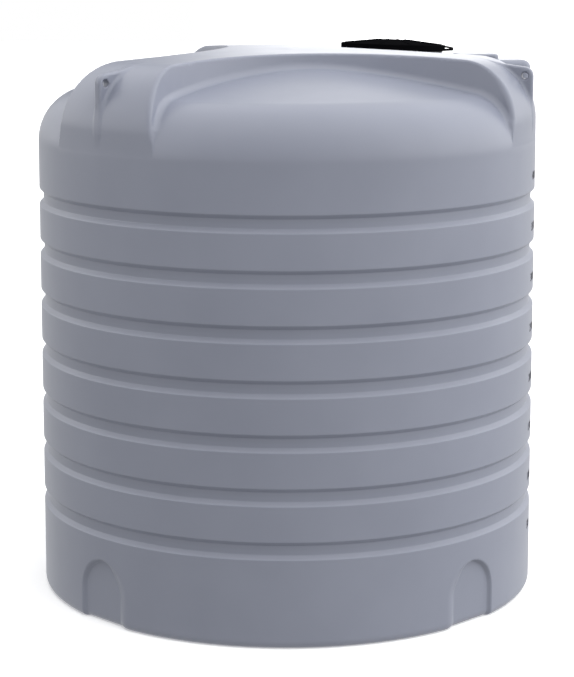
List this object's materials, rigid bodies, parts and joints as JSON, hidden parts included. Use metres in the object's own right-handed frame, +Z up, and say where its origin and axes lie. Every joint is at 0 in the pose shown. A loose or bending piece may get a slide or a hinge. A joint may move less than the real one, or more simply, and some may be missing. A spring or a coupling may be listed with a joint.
{
  "type": "water tank",
  "caption": "Upright round moulded plastic water tank with grooved wall, recessed roof, tie-down lugs, hinged manhole lid, bottom outlet and screened overflow.",
  "frame": {"origin": "middle of the flat base, on the floor", "axes": "+Z up along the tank's axis; -Y is the front that the picture shows, +X is its right-hand side"},
  "size_m": [1.86, 1.86, 2.0369],
  "materials": {
    "tank_polyethylene": "blue-grey rotomoulded polyethylene, satin",
    "black_polypropylene": "black injection-moulded polypropylene",
    "epdm_rubber": "moulded rubber",
    "stainless_steel": "plain stainless steel"
  },
  "bodies": {
    "tank": {"tank_shell": "tank_polyethylene", "manhole_ring": "black_polypropylene", "ring_gasket": "epdm_rubber", "ring_screws": "stainless_steel", "hinge_pin": "stainless_steel", "pin_clips": "stainless_steel", "outlet_body": "black_polypropylene", "outlet_nut": "black_polypropylene", "outlet_washer": "black_polypropylene", "outlet_gasket": "epdm_rubber", "overflow_body": "black_polypropylene", "overflow_nut": "black_polypropylene", "overflow_gasket": "epdm_rubber", "overflow_screen": "stainless_steel", "screen_cap": "black_polypropylene"},
    "lid": {"manhole_lid": "black_polypropylene", "lid_seal": "epdm_rubber"}
  },
  "joints": [
    {"name": "lid_hinge", "type": "hinge", "parent": "tank", "child": "lid", "pos_m": [0.64648, 0.41738, 1.99593], "axis": [0, 0.9995, -0.0309], "range_deg": [0, 105]}
  ]
}
